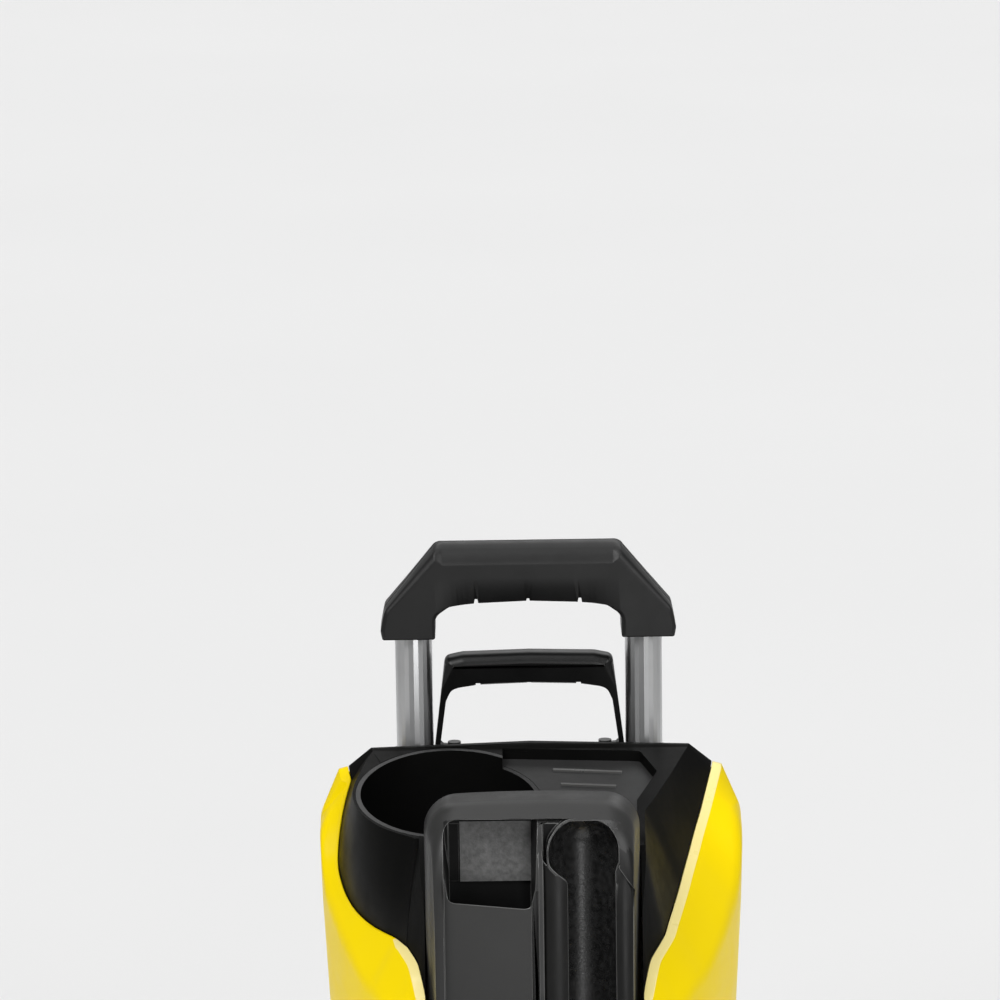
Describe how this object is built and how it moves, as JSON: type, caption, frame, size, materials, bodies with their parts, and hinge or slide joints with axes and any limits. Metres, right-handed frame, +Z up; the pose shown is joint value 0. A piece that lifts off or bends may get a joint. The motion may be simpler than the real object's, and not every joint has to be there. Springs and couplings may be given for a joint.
{
  "type": "pressure washer",
  "caption": "Upright electric pressure washer: yellow side shells, black top with bottle well and accessory panel, telescopic pull handle, carry handle and rear wheels.",
  "frame": {"origin": "on the floor, under the centre of the machine's bounding box", "axes": "+X to the right as seen from the front, +Y to the rear (the wheels and handle side), +Z up"},
  "size_m": [0.306, 0.38, 0.5805],
  "materials": {
    "yellow_shell": "moulded plastic, satin gloss",
    "yellow_trim": "moulded plastic, satin gloss",
    "cover_plastic": "moulded plastic, fine grain, satin",
    "textured_plastic": "moulded plastic, fine grain, satin",
    "pad_plastic": "coarse spark-eroded texture",
    "grip_plastic": "moulded plastic, satin",
    "rubber_parts": "matt rubber",
    "tyre_rubber": "matt rubber tread",
    "tube_aluminium": "anodised, fine drawn lines",
    "grey_plastic": "moulded plastic, satin",
    "motor_casing": "cast, matt",
    "white_plastic": "moulded plastic, satin",
    "steel_parts": "zinc plated",
    "brass_parts": "machined"
  },
  "bodies": {
    "machine": {"top_cover": "cover_plastic", "bottle_well": "cover_plastic", "bottle_connector": "grey_plastic", "right_side_shell": "yellow_shell", "left_side_shell": "yellow_shell", "rear_cover": "cover_plastic", "accessory_panel": "textured_plastic", "pocket_pad": "pad_plastic", "base_tray": "cover_plastic", "front_console": "cover_plastic", "carry_handle": "grip_plastic", "cable_gland": "rubber_parts", "hose_holder": "cover_plastic", "left_front_foot": "rubber_parts", "right_front_foot": "rubber_parts", "left_guide_sleeve": "grey_plastic", "right_guide_sleeve": "grey_plastic", "left_carry_handle_screw": "steel_parts", "right_carry_handle_screw": "steel_parts", "outlet_body": "brass_parts", "inlet_connector": "cover_plastic", "left_stub_axle": "steel_parts", "right_stub_axle": "steel_parts", "motor_housing": "motor_casing", "upper_bearing": "steel_parts", "lower_bearing": "steel_parts", "pump_housing": "tube_aluminium", "pump_head": "brass_parts", "pressure_switch": "grey_plastic", "high_pressure_pipe": "steel_parts", "inlet_pipe": "rubber_parts", "inlet_filter": "white_plastic", "switch_box": "grey_plastic", "capacitor": "white_plastic", "piston_spring_1": "steel_parts", "piston_spring_2": "steel_parts", "piston_spring_3": "steel_parts"},
    "pull_handle": {"grip_front_shell": "grip_plastic", "grip_rear_shell": "grip_plastic", "left_grip_screw": "steel_parts", "right_grip_screw": "steel_parts", "left_handle_tube": "tube_aluminium", "right_handle_tube": "tube_aluminium", "left_tube_plug": "rubber_parts", "right_tube_plug": "rubber_parts"},
    "left_wheel": {"left_wheel_rim": "cover_plastic", "left_tyre": "tyre_rubber", "left_hub_cap": "yellow_trim"},
    "right_wheel": {"right_wheel_rim": "cover_plastic", "right_tyre": "tyre_rubber", "right_hub_cap": "yellow_trim"},
    "on_off_knob": {"switch_knob": "yellow_trim"},
    "cable_hook": {"cable_hook": "cover_plastic"},
    "release_collar": {"outlet_release_collar": "yellow_trim"},
    "pump_drive": {"motor_rotor": "steel_parts", "swash_plate": "steel_parts"},
    "piston_1": {"piston_1": "steel_parts"},
    "piston_2": {"piston_2": "steel_parts"},
    "piston_3": {"piston_3": "steel_parts"}
  },
  "joints": [
    {"name": "telescopic_slide", "type": "slide", "parent": "machine", "child": "pull_handle", "axis": [0, 0, 1], "range_m": [0, 0.355]},
    {"name": "left_wheel_spin", "type": "hinge", "parent": "machine", "child": "left_wheel", "pos_m": [-0.1335, 0.115, 0.075], "axis": [1, 0, 0], "continuous": true},
    {"name": "right_wheel_spin", "type": "hinge", "parent": "machine", "child": "right_wheel", "pos_m": [0.1335, 0.115, 0.075], "axis": [1, 0, 0], "continuous": true},
    {"name": "knob_turn", "type": "hinge", "parent": "machine", "child": "on_off_knob", "pos_m": [0, -0.14, 0.122], "axis": [0, 1, 0], "range_deg": [0, 90]},
    {"name": "cable_hook_turn", "type": "hinge", "parent": "machine", "child": "cable_hook", "pos_m": [0, 0.15, 0.356], "axis": [0, 1, 0], "range_deg": [0, 180]},
    {"name": "release_collar_slide", "type": "slide", "parent": "machine", "child": "release_collar", "axis": [0, 1, 0], "range_m": [0, 0.004], "stiffness_N_per_m": 800},
    {"name": "pump_drive_spin", "type": "hinge", "parent": "machine", "child": "pump_drive", "pos_m": [0.015, 0.022, 0.2], "axis": [0, 0, 1], "continuous": true},
    {"name": "piston_1_slide", "type": "slide", "parent": "machine", "child": "piston_1", "axis": [0, 0, -1], "range_m": [0, 0.0075], "stiffness_N_per_m": 1000, "deforming": ["piston_spring_1"]},
    {"name": "piston_2_slide", "type": "slide", "parent": "machine", "child": "piston_2", "axis": [0, 0, -1], "range_m": [0, 0.0075], "stiffness_N_per_m": 1000, "deforming": ["piston_spring_2"]},
    {"name": "piston_3_slide", "type": "slide", "parent": "machine", "child": "piston_3", "axis": [0, 0, -1], "range_m": [0, 0.0075], "stiffness_N_per_m": 1000, "deforming": ["piston_spring_3"]}
  ]
}
